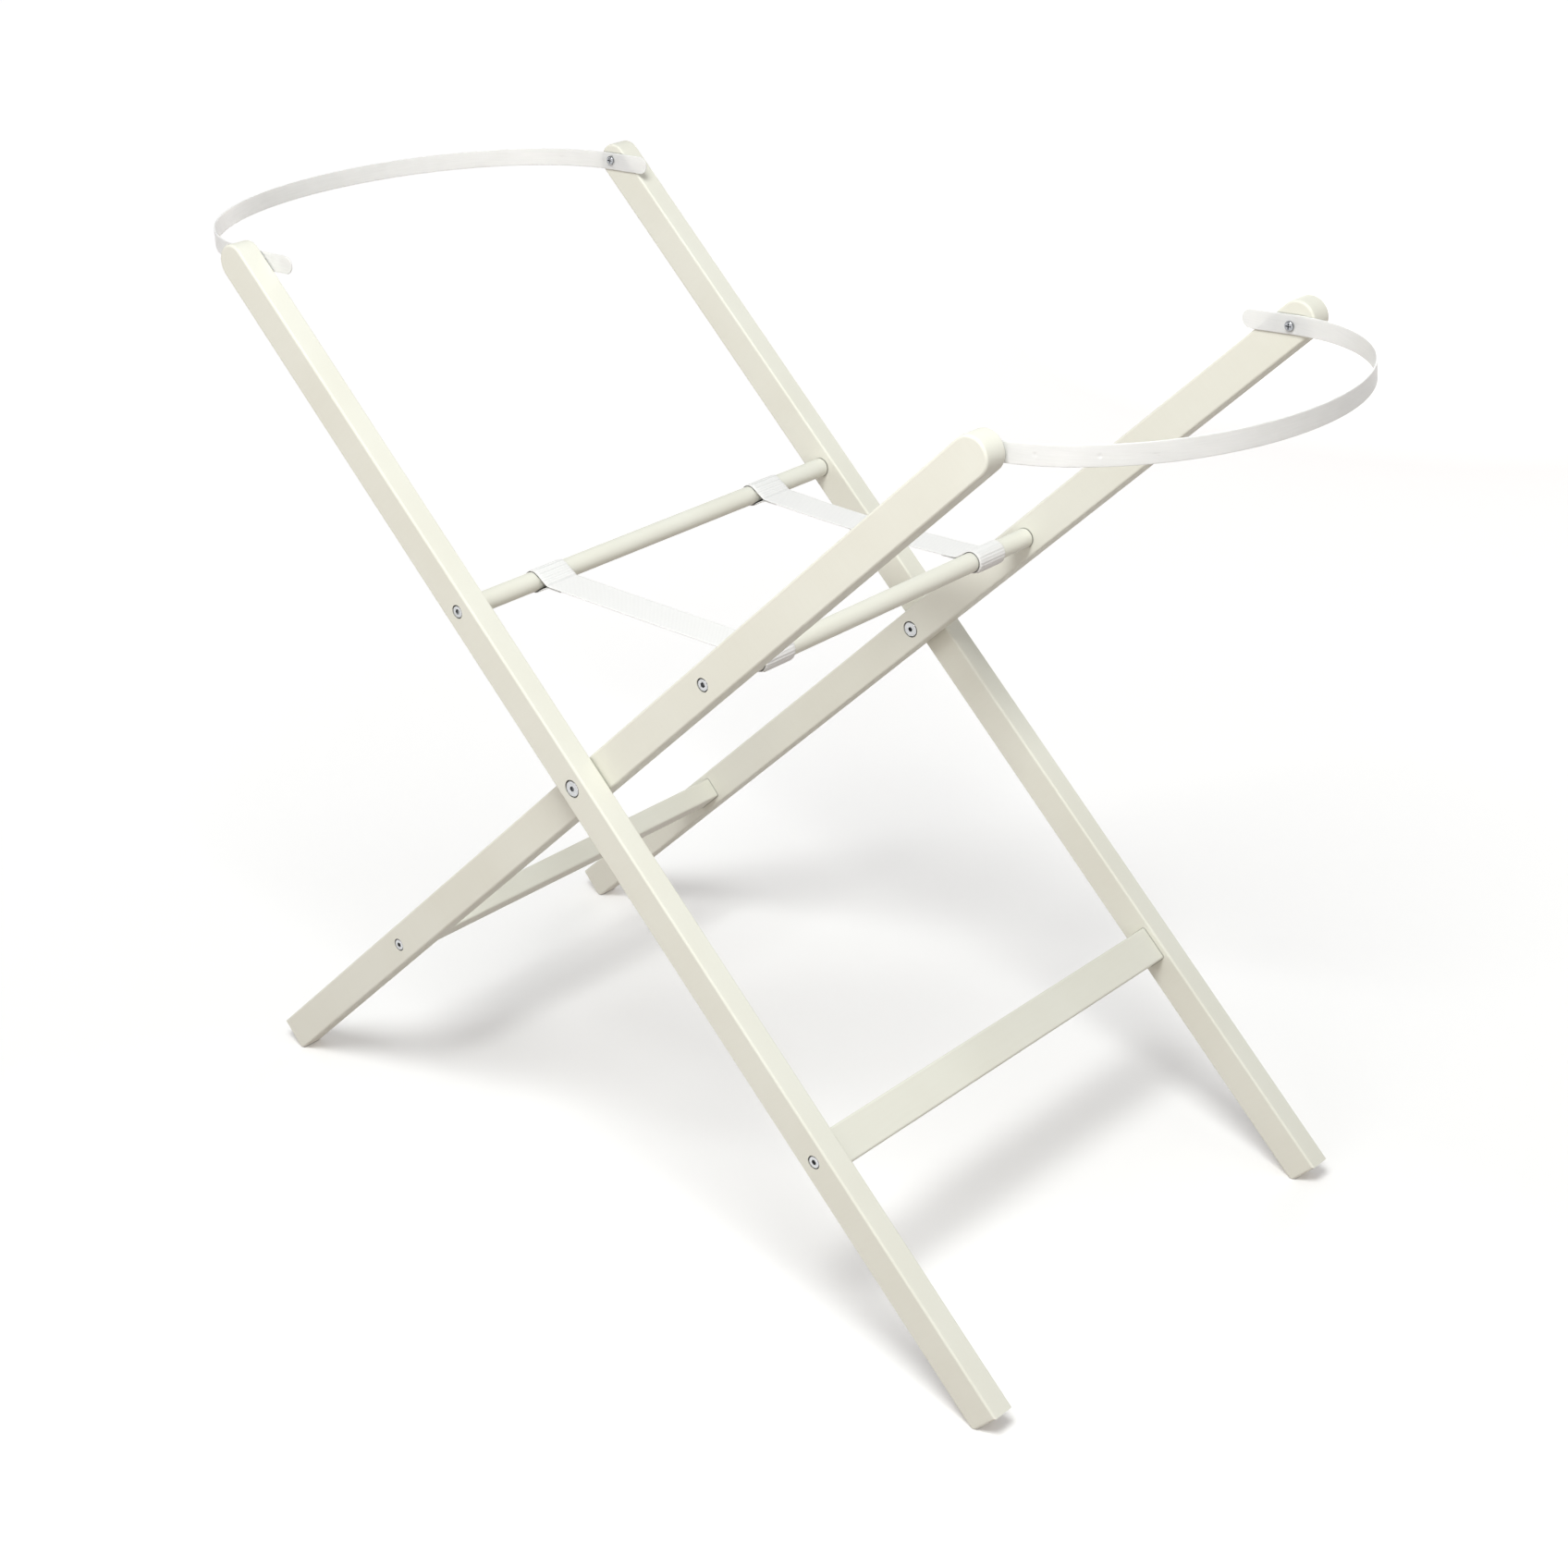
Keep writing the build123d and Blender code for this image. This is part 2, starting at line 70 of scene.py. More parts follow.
class Shader:
    """Small wrapper that builds one node material."""

    def __init__(self, name, **constants):
        self.material = bpy.data.materials.new(name)
        self.material.use_nodes = True
        self.tree = self.material.node_tree
        self.bsdf = self.tree.nodes["Principled BSDF"]
        for socket, value in constants.items():
            self.bsdf.inputs[socket.replace("_", " ")].default_value = value

    def add(self, kind, **settings):
        node = self.tree.nodes.new(kind)
        for key, value in settings.items():
            setattr(node, key, value)
        return node

    def link(self, source, target):
        self.tree.links.new(source, target)

    def coords(self, kind="Object", turn=(0, 0, 0), scale=(1, 1, 1)):
        """Texture coordinates, turned and stretched."""
        if kind == "UV":
            source = self.add("ShaderNodeUVMap", uv_map="UVMap").outputs["UV"]
        else:
            source = self.add("ShaderNodeTexCoord").outputs[kind]
        mapping = self.add("ShaderNodeMapping", vector_type="TEXTURE")
        mapping.inputs["Rotation"].default_value = turn
        mapping.inputs["Scale"].default_value = scale
        self.link(source, mapping.inputs["Vector"])
        return mapping.outputs["Vector"]

    def axes(self, vector):
        """The X and Y of a vector, as two values."""
        node = self.add("ShaderNodeSeparateXYZ")
        self.link(vector, node.inputs["Vector"])
        return node.outputs["X"], node.outputs["Y"]

    def noise(self, vector, scale, detail=2.0, roughness=0.5):
        node = self.add("ShaderNodeTexNoise")
        node.inputs["Scale"].default_value = scale
        node.inputs["Detail"].default_value = detail
        node.inputs["Roughness"].default_value = roughness
        self.link(vector, node.inputs["Vector"])
        return node.outputs["Fac"]

    def ramp(self, factor, stops):
        node = self.add("ShaderNodeValToRGB")
        fill_ramp(node.color_ramp.elements, stops)
        self.link(factor, node.inputs["Fac"])
        return node.outputs["Color"]

    def range(self, factor, low, high, source=(0.0, 1.0)):
        """The factor, carried from the source range to low and high."""
        node = self.add("ShaderNodeMapRange")
        node.inputs["From Min"].default_value = source[0]
        node.inputs["From Max"].default_value = source[1]
        node.inputs["To Min"].default_value = low
        node.inputs["To Max"].default_value = high
        self.link(factor, node.inputs["Value"])
        return node.outputs["Result"]

    def math(self, operation, first, second):
        node = self.add("ShaderNodeMath", operation=operation)
        for socket, value in zip(node.inputs, (first, second)):
            if isinstance(value, (int, float)):
                socket.default_value = value
            else:
                self.link(value, socket)
        return node.outputs["Value"]

    def sine(self, value, turn):
        """Sine of a value times a turn."""
        node = self.add("ShaderNodeMath", operation="SINE")
        self.link(self.math("MULTIPLY", value, turn), node.inputs[0])
        return node.outputs["Value"]

    def mixed(self, first, second, share):
        """Weighted mean of two values; share is the weight of the first."""
        part = self.math("MULTIPLY", first, share)
        rest = self.math("MULTIPLY", second, 1.0 - share)
        return self.math("ADD", part, rest)

    def shaded(self, colour, reach):
        """The colour, darkened where the surface lies in a narrow recess: painted shade."""
        node = self.add("ShaderNodeAmbientOcclusion", samples=OCCLUSION_SAMPLES)
        node.inputs["Distance"].default_value = reach
        self.link(colour, node.inputs["Color"])
        return node.outputs["Color"]

    def bump(self, height, strength, distance, below=None):
        node = self.add("ShaderNodeBump")
        node.inputs["Strength"].default_value = strength
        node.inputs["Distance"].default_value = distance
        self.link(height, node.inputs["Height"])
        if below is not None:
            self.link(below, node.inputs["Normal"])
        return node.outputs["Normal"]

    def finish(self, colour, roughness, normal=None):
        self.link(colour, self.bsdf.inputs["Base Color"])
        self.link(roughness, self.bsdf.inputs["Roughness"])
        if normal is not None:
            self.link(normal, self.bsdf.inputs["Normal"])
        return self.material


def fill_ramp(elements, stops):
    """Gives a colour ramp its stops, as pairs of place and colour."""
    while len(elements) < len(stops):
        elements.new(0.5)
    for element, (position, colour) in zip(elements, stops):
        element.position = position
        element.color = (*colour, 1.0)


# ---------------------------------------------------------------- materials

CREAM_LIGHT = (0.745, 0.748, 0.672)
CREAM_DEEP = (0.712, 0.708, 0.624)
ZINC_LIGHT = (0.72, 0.725, 0.735)
ZINC_DARK = (0.56, 0.57, 0.585)
# The bow screws' shiny steel is coloured darker than the bolts': painted reflection of dark
# surroundings.
DARK_REFLECTION_ZINC_LIGHT = (0.50, 0.515, 0.54)
DARK_REFLECTION_ZINC_DARK = (0.36, 0.375, 0.40)
YELLOW_ZINC_LIGHT = (0.72, 0.63, 0.40)
YELLOW_ZINC_DARK = (0.55, 0.47, 0.28)
BEECH_LIGHT = (0.62, 0.43, 0.26)
BEECH_DARK = (0.46, 0.29, 0.16)
NYLON_LIGHT = (0.78, 0.78, 0.75)
NYLON_DARK = (0.70, 0.70, 0.67)
MILKY_LIGHT = (0.825, 0.84, 0.825)
MILKY_DARK = (0.75, 0.765, 0.75)
WEBBING_LIGHT = (0.87, 0.875, 0.865)
WEBBING_DARK = (0.675, 0.675, 0.67)
THREAD_LIGHT = (0.90, 0.90, 0.89)
THREAD_DARK = (0.80, 0.80, 0.79)

# How many times longer than wide the grain of wood is, and the flow lines of the plastic are
GRAIN_STRETCH = 12
FLOW_STRETCH = 18

# Width of the gaps that get painted shade, in steel, wood and webbing
RECESS_SHADE_REACH = 4.0 * MM
CORNER_SHADE_REACH = 1.2 * MM
GROOVE_SHADE_REACH = 2.5 * MM

WEAVE_PITCH = 1.3 * MM


def painted_wood(name, lean, across=False):
    """Satin cream paint over beech; the grain runs along the piece."""
    shader = Shader(name, Specular_IOR_Level=0.32)
    turn = (0, -lean, 0)
    stretch = (1, GRAIN_STRETCH, 1) if across else (GRAIN_STRETCH, 1, 1)
    plain_space = shader.coords(turn=turn)
    grain_space = shader.coords(turn=turn, scale=stretch)
    cloud = shader.noise(plain_space, scale=9.0, detail=3.0)
    grain = shader.noise(grain_space, scale=420.0, detail=4.0, roughness=0.6)
    peel = shader.noise(plain_space, scale=1500.0)
    tone = shader.mixed(cloud, grain, share=0.8)
    colour = shader.ramp(tone, [(0.30, CREAM_DEEP), (0.62, CREAM_LIGHT)])
    roughness = shader.range(grain, low=0.46, high=0.60)
    normal = shader.bump(grain, strength=0.22, distance=0.35 * MM)
    normal = shader.bump(peel, strength=0.10, distance=0.25 * MM, below=normal)
    # Painted shade darkens the paint in narrow gaps and corners.
    return shader.finish(shader.shaded(colour, CORNER_SHADE_REACH), roughness, normal)


def steel(name, light, dark, smoothest, roughest):
    """Zinc-plated steel with fine turning marks, a mottled plating and painted shade in its
    recesses.
    """
    shader = Shader(name, Metallic=1.0, Specular_IOR_Level=0.5)
    turning_space = shader.coords(scale=(1, 0.02, 1))
    mottle = shader.noise(shader.coords(), scale=900.0, detail=4.0, roughness=0.6)
    turned = shader.noise(turning_space, scale=2600.0)
    colour = shader.ramp(mottle, [(0.3, dark), (0.7, light)])
    roughness = shader.range(mottle, smoothest, roughest, source=(0.3, 0.7))
    normal = shader.bump(turned, strength=0.12, distance=0.1 * MM)
    return shader.finish(shader.shaded(colour, RECESS_SHADE_REACH), roughness, normal)


def bare_beech(name):
    """Unpainted beech of the hidden locating pins."""
    shader = Shader(name, Specular_IOR_Level=0.3)
    grain_space = shader.coords(scale=(1, GRAIN_STRETCH, 1))
    grain = shader.noise(grain_space, scale=700.0, detail=4.0, roughness=0.6)
    colour = shader.ramp(grain, [(0.35, BEECH_DARK), (0.65, BEECH_LIGHT)])
    roughness = shader.range(grain, low=0.55, high=0.75)
    return shader.finish(colour, roughness, shader.bump(grain, strength=0.3, distance=0.3 * MM))


def nylon(name):
    """Moulded white nylon of the pivot washers."""
    shader = Shader(name, Specular_IOR_Level=0.45, Subsurface_Weight=0.1)
    speckle = shader.noise(shader.coords(), scale=1200.0, detail=3.0)
    colour = shader.ramp(speckle, [(0.3, NYLON_DARK), (0.7, NYLON_LIGHT)])
    roughness = shader.range(speckle, low=0.4, high=0.6)
    return shader.finish(colour, roughness, shader.bump(speckle, strength=0.15, distance=0.2 * MM))


def bow_plastic(name):
    """Milky polypropylene strip: faint flow lines along it and a soft sheen."""
    shader = Shader(
        name,
        Specular_IOR_Level=0.5,
        IOR=1.49,
        Transmission_Weight=0.06,
        Subsurface_Weight=0.65,
        Subsurface_Scale=4.0 * MM,
        Subsurface_Radius=(1.0, 1.0, 0.95),
    )
    flow_space = shader.coords(scale=(FLOW_STRETCH, FLOW_STRETCH, 1))
    cloud = shader.noise(shader.coords(), scale=28.0, detail=3.0)
    flow = shader.noise(flow_space, scale=900.0, detail=3.0, roughness=0.6)
    mist = shader.mixed(cloud, flow, share=0.6)
    colour = shader.ramp(mist, [(0.32, MILKY_DARK), (0.66, MILKY_LIGHT)])
    roughness = shader.range(mist, low=0.26, high=0.44, source=(0.3, 0.7))
    return shader.finish(colour, roughness, shader.bump(flow, strength=0.12, distance=0.2 * MM))


def webbing(name):
    """White polyester webbing: plain weave with rounded picks, slightly fuzzy.

    Its UV coordinates are millimetres across and along the strap.
    """
    shader = Shader(name, Specular_IOR_Level=0.35, Sheen_Weight=0.25, Sheen_Roughness=0.5)
    space = shader.coords("UV")
    across, along = shader.axes(space)
    turn = 2 * math.pi * MM / WEAVE_PITCH
    picks = shader.math("MULTIPLY", shader.sine(across, turn), shader.sine(along, turn))
    weave = shader.range(picks, low=0.0, high=1.0, source=(-1.0, 1.0))
    fuzz = shader.noise(space, scale=3.5, detail=4.0, roughness=0.65)
    height = shader.math("ADD", weave, shader.math("MULTIPLY", fuzz, 0.45))
    # The colour is darker in the hollows between the picks: painted shade of the weave, mixed with
    # the fuzz's random tone.
    weave_shade_and_fuzz = shader.mixed(weave, fuzz, share=0.7)
    colour = shader.ramp(weave_shade_and_fuzz, [(0.12, WEBBING_DARK), (0.75, WEBBING_LIGHT)])
    roughness = shader.range(fuzz, low=0.62, high=0.85)
    normal = shader.bump(height, strength=0.4, distance=0.3 * MM)
    # Painted shade darkens the webbing in the grooves between its sewn ribs.
    return shader.finish(shader.shaded(colour, GROOVE_SHADE_REACH), roughness, normal)


def thread(name):
    """Polyester sewing thread with a faint twist."""
    shader = Shader(name, Specular_IOR_Level=0.4, Sheen_Weight=0.2)
    twist = shader.noise(shader.coords(), scale=2600.0)
    colour = shader.ramp(twist, [(0.35, THREAD_DARK), (0.65, THREAD_LIGHT)])
    roughness = shader.range(twist, low=0.45, high=0.65)
    return shader.finish(colour, roughness, shader.bump(twist, strength=0.3, distance=0.1 * MM))


outer_paint = painted_wood("paint_outer_leg", OUTER_LEAN)
inner_paint = painted_wood("paint_inner_leg", -INNER_LEAN)
bar_paint = painted_wood("paint_bar", 0.0, across=True)
zinc = steel("zinc_steel", ZINC_LIGHT, ZINC_DARK, 0.18, 0.34)
# Shiny zinc of the bow screws, its darker colour a painted reflection of dark surroundings.
dark_reflection_zinc = steel("dark_reflection_zinc", DARK_REFLECTION_ZINC_LIGHT, DARK_REFLECTION_ZINC_DARK, 0.10, 0.18)
yellow_zinc = steel("yellow_zinc", YELLOW_ZINC_LIGHT, YELLOW_ZINC_DARK, 0.18, 0.34)
beech = bare_beech("bare_beech")
white_nylon = nylon("white_nylon")
milky_plastic = bow_plastic("milky_plastic")
white_webbing = webbing("white_webbing")
white_thread = thread("white_thread")


def dress(node, material):
    """Gives every material slot of a CAD node one material."""
    mesh = nodes[node].data
    if not mesh.materials:
        mesh.materials.append(material)
    for index in range(len(mesh.materials)):
        mesh.materials[index] = material


for side, leg_paint in (("outer", outer_paint), ("inner", inner_paint)):
    dress(f"{side}_leg_left", leg_paint)
    dress(f"{side}_leg_right", leg_paint)
    dress(f"{side}_dowel", bar_paint)
    dress(f"{side}_rail", bar_paint)
    dress(f"{side}_dowel_bolts", zinc)
    dress(f"{side}_rail_bolts", zinc)
    dress(f"{side}_bow_screws", dark_reflection_zinc)
    dress(f"{side}_dowel_inserts", yellow_zinc)
    dress(f"{side}_rail_inserts", yellow_zinc)
    dress(f"{side}_rail_pins", beech)
dress("pivot_bolts", zinc)
dress("pivot_sleeve_nuts", zinc)
dress("pivot_spacers", white_nylon)


# ---------------------------------------------------------------- mesh helpers

def interpolated(at, marks, points):
    """Point of a polyline at a distance along it."""
    return np.array([np.interp(at, marks, points[:, k]) for k in range(2)])


def resample(points, step):
    """Evenly spaced points along a polyline, as (points, distances)."""
    points = np.asarray(points, float)
    legs = np.linalg.norm(np.diff(points, axis=0), axis=1)
    reach = np.concatenate([[0.0], np.cumsum(legs)])
    count = max(2, int(round(reach[-1] / step)) + 1)
    marks = np.linspace(0.0, reach[-1], count)
    even = np.stack([np.interp(marks, reach, points[:, k]) for k in range(2)], axis=1)
    return even, marks


def smoothed(points, sigma):
    """Rounds the corners of an evenly spaced polyline; sigma is in samples."""
    half = int(math.ceil(3 * sigma))
    kernel = np.exp(-0.5 * (np.arange(-half, half + 1) / sigma) ** 2)
    kernel /= kernel.sum()
    head = 2 * points[0] - points[half:0:-1]
    tail = 2 * points[-1] - points[-2 : -half - 2 : -1]
    padded = np.vstack([head, points, tail])
    return np.stack([np.convolve(padded[:, k], kernel, "valid") for k in range(2)], axis=1)


def left_normals(points):
    """Unit normals to the left of a polyline in its own plane."""
    tangent = np.gradient(points, axis=0)
    tangent /= np.linalg.norm(tangent, axis=1)[:, None]
    return np.stack([-tangent[:, 1], tangent[:, 0]], axis=1)


def closed_piece(name, vertices, faces, material, loop_uvs=None):
    """Smooth object from a closed mesh, its normals turned outwards."""
    mesh = bpy.data.meshes.new(name)
    mesh.from_pydata(vertices, [], faces)
    if loop_uvs is not None:
        layer = mesh.uv_layers.new(name="UVMap")
        for loop, uv in zip(layer.data, loop_uvs):
            loop.uv = uv
    mesh.materials.append(material)
    piece = bpy.data.objects.new(name, mesh)
    bpy.context.scene.collection.objects.link(piece)
    edit = bmesh.new()
    edit.from_mesh(mesh)
    bmesh.ops.recalc_face_normals(edit, faces=edit.faces)
    edit.to_mesh(mesh)
    edit.free()
    for polygon in mesh.polygons:
        polygon.use_smooth = True
    return piece


def tube_faces(count, size, first=0):
    """Faces of a tube through rings of points, capped at both ends; vertices count up from first."""
    faces = []
    for i in range(count - 1):
        for j in range(size):
            k = (j + 1) % size
            faces.append(((i, j), (i, k), (i + 1, k), (i + 1, j)))
    faces.append(tuple((0, j) for j in range(size - 1, -1, -1)))
    faces.append(tuple((count - 1, j) for j in range(size)))
    return [tuple(first + i * size + j for i, j in face) for face in faces]


def ring_mesh(name, rings, material, uv=None):
    """Closed mesh through rings of points; uv gives the coordinates of a place on a ring."""
    size = len(rings[0])
    vertices = [tuple(point) for ring in rings for point in ring]
    faces = tube_faces(len(rings), size)
    loop_uvs = None
    if uv is not None:
        loop_uvs = [uv(*divmod(index, size)) for face in faces for index in face]
    return closed_piece(name, vertices, faces, material, loop_uvs)


# ---------------------------------------------------------------- end bows

STRIP_HALF_HEIGHT = 7.5 * MM
STRIP_HALF_THICKNESS = 0.6 * MM
STRIP_EDGE = 0.4 * MM
STRIP_EDGE_SHARE = 0.9
EDGE_TURNS = (math.radians(15), math.radians(45), math.radians(75))
FACE_ROWS = 12
TAIL_RADIUS = 7.5 * MM
TIP_ANGLES = (4, 12, 22, 34, 48, 62, 78)
BOW_STEP = 2.0 * MM
BOW_CURVE_POINTS = 241
DIMPLE_RADIUS = 2.4 * MM
DIMPLE_DEPTH = 0.40 * MM
DIMPLE_STATIONS = 9
HOLE_RADIUS = 2.05 * MM
HOLE_SEGMENTS = 40

OUTER_REACH = 165.0 * MM
INNER_REACH = 144.0 * MM
OUTER_TILT = math.radians(-2.1)
INNER_TILT = math.radians(3.4)
OUTER_RISES = (-1.0 * MM, -1.0 * MM)
INNER_RISES = (4.0 * MM, 1.0 * MM)
OUTER_TAILS = (50.0 * MM, 43.0 * MM)
INNER_TAILS = (20.0 * MM, 41.0 * MM)
INNER_DIMPLES = (38.0 * MM, 79.0 * MM)


def bow_path(reach, half, tails):
    """The strip's middle line, seen from above: left tail, half ellipse, right tail."""
    angles = np.linspace(math.pi / 2, -math.pi / 2, BOW_CURVE_POINTS)
    curve = [(reach * math.cos(t), half * math.sin(t)) for t in angles]
    return resample([(-tails[1], half), *curve, (-tails[0], -half)], BOW_STEP)


def bow_stations(marks, dimples):
    """Distances of the strip's sections: the even marks, and more in the tips and dimples."""
    total = marks[-1]
    tips = [TAIL_RADIUS * (1 - math.cos(math.radians(angle))) for angle in TIP_ANGLES]
    between = [mark for mark in marks if TAIL_RADIUS <= mark <= total - TAIL_RADIUS]
    for place in dimples:
        between = [mark for mark in between if abs(mark - place) > DIMPLE_RADIUS + BOW_STEP / 2]
        between += [place + DIMPLE_RADIUS * share for share in np.linspace(-1, 1, DIMPLE_STATIONS)]
    return [*tips, *sorted(between), *[total - mark for mark in reversed(tips)]]


def half_height_at(from_tip):
    """Half the strip's height at a distance from its nearer tip, which is round."""
    if from_tip >= TAIL_RADIUS:
        return STRIP_HALF_HEIGHT
    return math.sqrt(max(0.0, TAIL_RADIUS**2 - (TAIL_RADIUS - from_tip) ** 2))


def dent_at(station, up, dimples):
    """How far the dimples sink the outer face at a place of the strip."""
    reached = [math.hypot(station - place, up) / DIMPLE_RADIUS for place in dimples]
    return sum(DIMPLE_DEPTH * (1 - share**2) ** 2 for share in reached if share < 1)


def strip_section(half_height, station, dimples):
    """Rounded flat section of the strip, as (outward, upward) pairs."""
    edge = min(STRIP_EDGE, half_height * STRIP_EDGE_SHARE)
    flat = half_height - edge
    t = STRIP_HALF_THICKNESS
    rows = [flat * k / FACE_ROWS for k in range(-FACE_ROWS, FACE_ROWS + 1)]
    section = [(t - dent_at(station, up, dimples), up) for up in rows]
    section += [(t - edge + edge * math.cos(a), flat + edge * math.sin(a)) for a in EDGE_TURNS]
    section += [(-(t - edge) - edge * math.sin(a), flat + edge * math.cos(a)) for a in EDGE_TURNS]
    section += [(-t, -up) for up in rows]
    section += [(-(t - edge) - edge * math.cos(a), -flat - edge * math.sin(a)) for a in EDGE_TURNS]
    section += [(t - edge + edge * math.sin(a), -flat - edge * math.cos(a)) for a in EDGE_TURNS]
    return section


def drill_screw_holes(piece, hinge):
    """Bores both screw holes of a bow along its hinge line."""
    drill = bpy.data.meshes.new("drill")
    along_hinge = Matrix.Translation(hinge) @ Matrix.Rotation(math.pi / 2, 4, "X")
    bit = bmesh.new()
    bmesh.ops.create_cone(
        bit,
        cap_ends=True,
        segments=HOLE_SEGMENTS,
        radius1=HOLE_RADIUS,
        radius2=HOLE_RADIUS,
        depth=1.0,
        matrix=along_hinge,
    )
    bit.to_mesh(drill)
    bit.free()
    cutter = bpy.data.objects.new("drill", drill)
    bpy.context.scene.collection.objects.link(cutter)
    cut = piece.modifiers.new("screw holes", "BOOLEAN")
    cut.operation = "DIFFERENCE"
    cut.solver = "EXACT"
    cut.object = cutter
    evaluated = piece.evaluated_get(bpy.context.evaluated_depsgraph_get())
    drilled = bpy.data.meshes.new_from_object(evaluated)
    piece.modifiers.clear()
    piece.data = drilled
    bpy.data.objects.remove(cutter)
    for polygon in drilled.polygons:
        polygon.use_smooth = True


def make_bow(name, side, reach, tilt, rises, tails, dimples=()):
    """Bent strip with round-ended tails, swinging on its two screws.

    Pairs give the right side first: the strip's height above each screw, and its tail past it.
    Dimples are places on the outer face, as distances from the right screw.
    """
    low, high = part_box(name)
    half = (high.y - low.y) / 2 - STRIP_HALF_THICKNESS
    middle, marks = bow_path(reach - STRIP_HALF_THICKNESS, half, tails)
    normals = left_normals(middle)
    total = marks[-1]
    dimples = [total - tails[0] - distance for distance in dimples]
    hinge = Vector(joints[f"{name}_swing"]["pos_m"])
    tip = Vector((side * math.cos(tilt), 0, math.sin(tilt)))
    rise = Vector((-side * math.sin(tilt), 0, math.cos(tilt)))
    rings = []
    for station in bow_stations(marks, dimples):
        point = interpolated(station, marks, middle)
        normal = interpolated(station, marks, normals)
        normal /= np.linalg.norm(normal)
        half_height = half_height_at(min(station, total - station))
        ring = []
        for out, up in strip_section(half_height, station, dimples):
            u, v = point + out * normal
            raised = (rises[0] + rises[1]) / 2 + (rises[1] - rises[0]) * v / (2 * half)
            ring.append(hinge + tip * u + Vector((0, v, 0)) + rise * (up + raised))
        rings.append(ring)
    piece = ring_mesh(f"{name}_strip", rings, milky_plastic)
    drill_screw_holes(piece, hinge)
    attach(piece, name)
    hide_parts(name)


make_bow("outer_bow", -1, OUTER_REACH, OUTER_TILT, OUTER_RISES, OUTER_TAILS)
make_bow("inner_bow", 1, INNER_REACH, INNER_TILT, INNER_RISES, INNER_TAILS, INNER_DIMPLES)


# ---------------------------------------------------------------- webbing straps

WEB_HALF_WIDTH = 16.0 * MM
WEB_THICKNESS = 1.2 * MM
WEB_STEP = WEAVE_PITCH / 2
LOOP_RADIUS = 8.85 * MM
LOOP_POINTS = 60
SPAN_POINTS = 40
NECK = 16.0 * MM
FREE_END = 14.0 * MM
LAYER = 1.3 * MM
BEND_SIGMA = 2.0
RIGHT_SAG = 0.3 * MM
LEFT_SAG = 2.6 * MM

# Sewn overlaps: ribs between the rows of stitches, ramped at both ends
RIBS = 8
RIB_PITCH = 2.3 * MM
RIB_HEIGHT = 0.85 * MM
OVERLAP_HEIGHT = 1.0 * MM
OVERLAP_RAMP = 0.6 * MM
OVERLAP_LEAD = 0.3 * MM
TOP_REACH = 0.5 * MM
LOOP_SLACK = 1.05
INNER_OVERLAP_START = math.radians(62)

# Places across the webbing, as shares of its half width, and where its edge turns round
HALF_COLUMNS = (0.18, 0.36, 0.54, 0.7, 0.84, 0.93, 0.975, 1.0)
COLUMNS = (*[-share for share in reversed(HALF_COLUMNS)], 0.0, *HALF_COLUMNS)
EDGE_START = 0.93
EDGE_THINNEST = 0.25
RIB_END_START = 0.9
SCALLOP_OUT = 0.22 * MM
SCALLOP_IN = -0.10 * MM

STITCH_LENGTH = 1.9 * MM
STITCH_GAP = 0.8 * MM
STITCH_RADIUS = 0.2 * MM
STITCH_END_SHARE = 0.35
STITCH_LIFT = 0.05 * MM
STITCH_END_SINK = 0.12 * MM
STITCH_RINGS = 7
STITCH_SIDES = 6
FIRST_STITCH_INSET = 1.6 * MM
LAST_STITCH_INSET = 1.0 * MM


def loop_round(centre, start, end):
    """Points of a strap's loop round one dowel, between two angles."""
    x, z = centre
    turns = np.linspace(start, end, LOOP_POINTS)
    return [(x + LOOP_RADIUS * math.cos(t), z + LOOP_RADIUS * math.sin(t)) for t in turns]


def strap_path(outer, inner, sag):
    """Middle line of one strap in the XZ plane, from one free end to the other."""
    (x1, z1), (x2, z2) = outer, inner
    tangent = math.acos(LOOP_RADIUS / NECK)
    line = [(x1 + NECK + FREE_END, z1 - LAYER), (x1 + NECK, z1 - LAYER)]
    line += loop_round(outer, -tangent, tangent - 2 * math.pi)
    for share in np.linspace(0, 1, SPAN_POINTS):
        x = x1 + NECK + share * (x2 - x1 - 2 * NECK)
        dip = sag * 4 * share * (1 - share)
        line.append((x, z1 + share * (z2 - z1) - dip))
    line += loop_round(inner, math.pi - tangent, tangent - math.pi)
    line += [(x2 - NECK, z2 - LAYER), (x2 - NECK - FREE_END, z2 - LAYER)]
    even, _ = resample(line, WEB_STEP)
    return resample(smoothed(even, BEND_SIGMA), WEB_STEP)


def overlap_starts(line, marks, outer, inner):
    """Where the sewn parts begin: on top of the outer dowel, and on the far side of the inner."""
    x1, z1 = outer
    x2, z2 = inner
    on_top = (abs(line[:, 0] - x1) < TOP_REACH) & (line[:, 1] > z1)
    on_inner = np.hypot(line[:, 0] - x2, line[:, 1] - z2) < LOOP_RADIUS * LOOP_SLACK
    turned = np.arctan2(line[:, 1] - z2, line[:, 0] - x2) < INNER_OVERLAP_START
    return marks[on_top][0] - OVERLAP_LEAD, marks[on_inner & turned][0]


def rib_profile(distance):
    """Height of the sewn overlap: ribs between the stitch rows, with a short ramp at each end."""
    inside = min(distance, RIBS * RIB_PITCH - distance)
    if inside <= 0:
        return 0.0
    ramp = min(1.0, inside / OVERLAP_RAMP)
    phase = (distance % RIB_PITCH) / RIB_PITCH
    rib = math.sqrt(abs(math.sin(math.pi * phase)))
    return ramp * (OVERLAP_HEIGHT - RIB_HEIGHT * (1 - rib))


def web_half_thickness(column):
    """Half the webbing's thickness at a place across it, less where its edge turns round."""
    past = max(0.0, (abs(column) - EDGE_START) / (1 - EDGE_START))
    round_off = math.sqrt(max(0.0, 1 - past**2))
    return WEB_THICKNESS / 2 * (EDGE_THINNEST + (1 - EDGE_THINNEST) * round_off)


